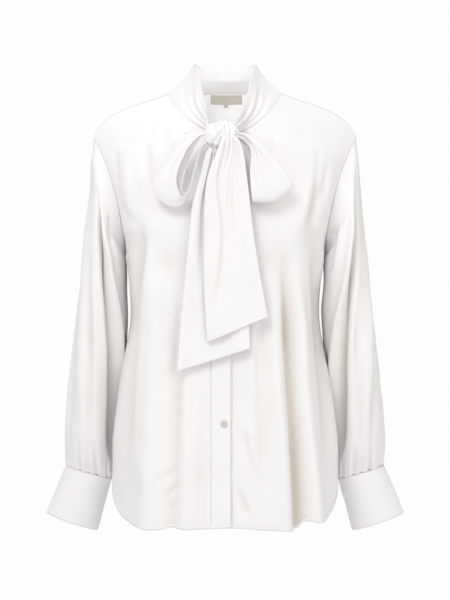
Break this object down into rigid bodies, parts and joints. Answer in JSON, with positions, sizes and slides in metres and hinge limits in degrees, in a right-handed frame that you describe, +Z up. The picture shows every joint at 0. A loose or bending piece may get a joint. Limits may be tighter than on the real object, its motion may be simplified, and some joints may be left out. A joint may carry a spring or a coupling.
{
  "type": "bow-neck blouse",
  "caption": "White long-sleeved button-front blouse with a stand band tied in a soft bow, gathered sleeves, deep flared cuffs and a curved hem, filled out as worn.",
  "frame": {"origin": "on the middle line between the two side necks, where the wearer's shoulders hold the blouse up", "axes": "+Z up, -Y the front, +X the wearer's left"},
  "size_m": [0.582, 0.2674, 0.7542],
  "materials": {
    "cloth": "off-white satin-backed crepe with a soft sheen",
    "button": "pearly white resin",
    "label": "beige woven tape"
  },
  "bodies": {
    "root": {"front_right": "cloth", "front_left": "cloth", "back": "cloth", "sleeve_right": "cloth", "sleeve_left": "cloth", "cuff_right": "cloth", "cuff_left": "cloth", "neck_band": "cloth", "bow_knot": "cloth", "bow_loop_right": "cloth", "bow_loop_left": "cloth", "tail_over": "cloth", "tail_under": "cloth", "button_front_1": "button", "button_front_2": "button", "button_front_3": "button", "button_front_4": "button", "button_cuff_right_1": "button", "button_cuff_right_2": "button", "button_cuff_left_1": "button", "button_cuff_left_2": "button", "label_neck": "label", "label_size": "label"}
  },
  "joints": []
}
